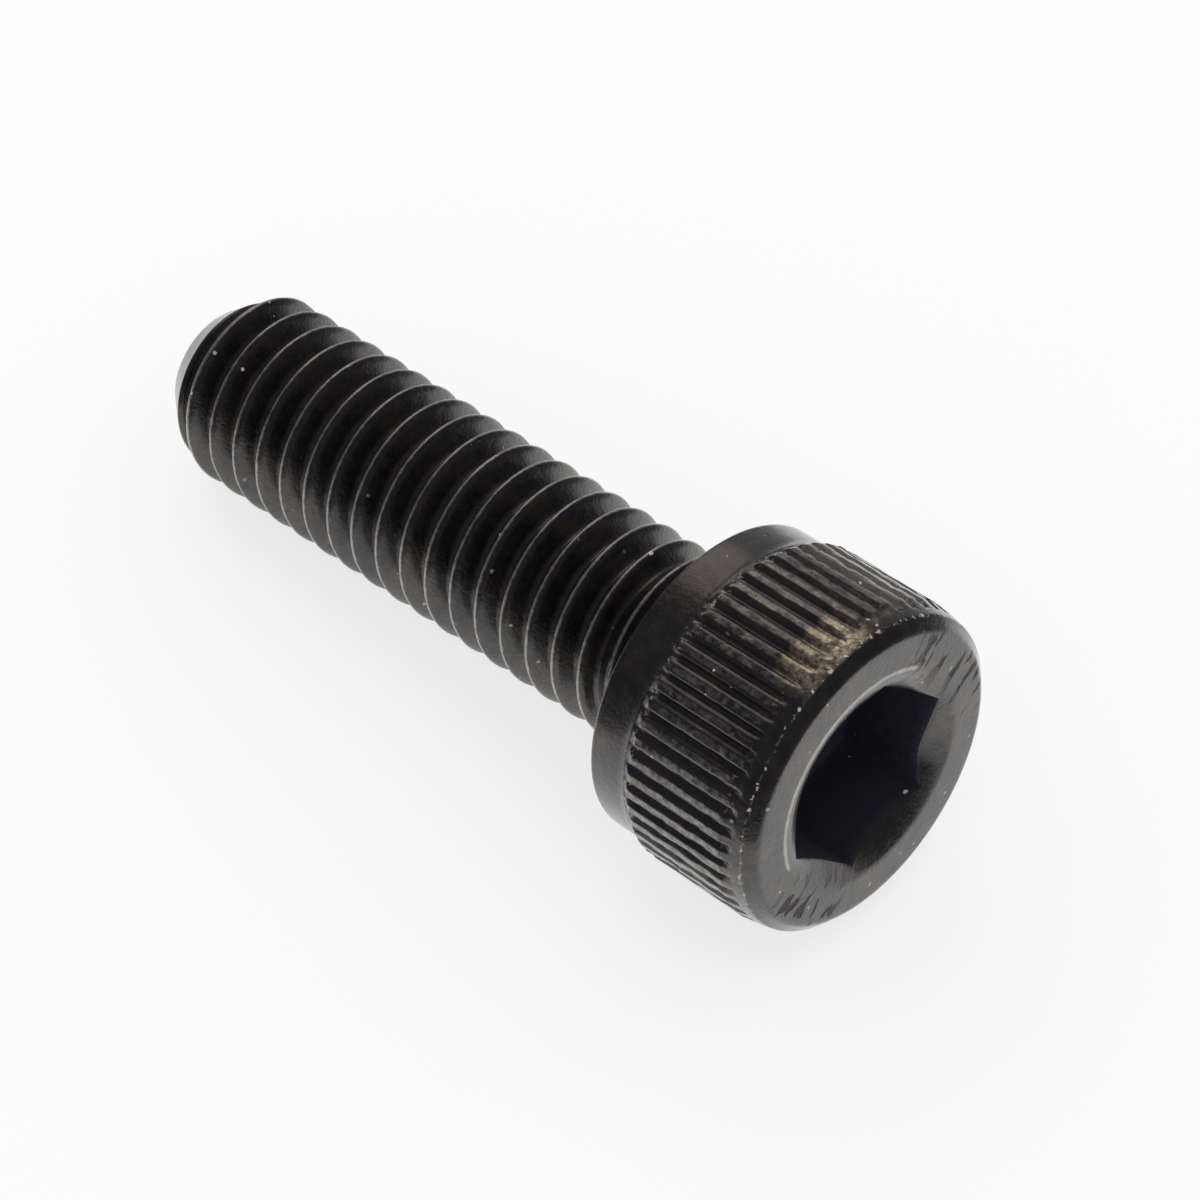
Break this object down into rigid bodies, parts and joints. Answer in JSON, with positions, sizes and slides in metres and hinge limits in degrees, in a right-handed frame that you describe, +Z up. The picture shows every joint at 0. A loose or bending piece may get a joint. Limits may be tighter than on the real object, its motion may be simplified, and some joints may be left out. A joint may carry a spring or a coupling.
{
  "type": "socket head cap screw",
  "caption": "Steel socket head cap screw with a straight-knurled cylindrical head, a hexagon socket and a thread along the whole shank, lying on its side.",
  "frame": {"origin": "on the table the screw lies on, under the middle of its outer box", "axes": "+Z up from the table; the screw's axis lies in the XZ plane with the head towards +X and rises 5.77 degrees towards the head, as the screw rests on the head's knurl and the thread's crests"},
  "size_m": [0.0262, 0.0098, 0.0101],
  "materials": {
    "black_steel": "black oxide on alloy steel, as rolled"
  },
  "bodies": {
    "root": {"cap_screw": "black_steel"}
  },
  "joints": []
}
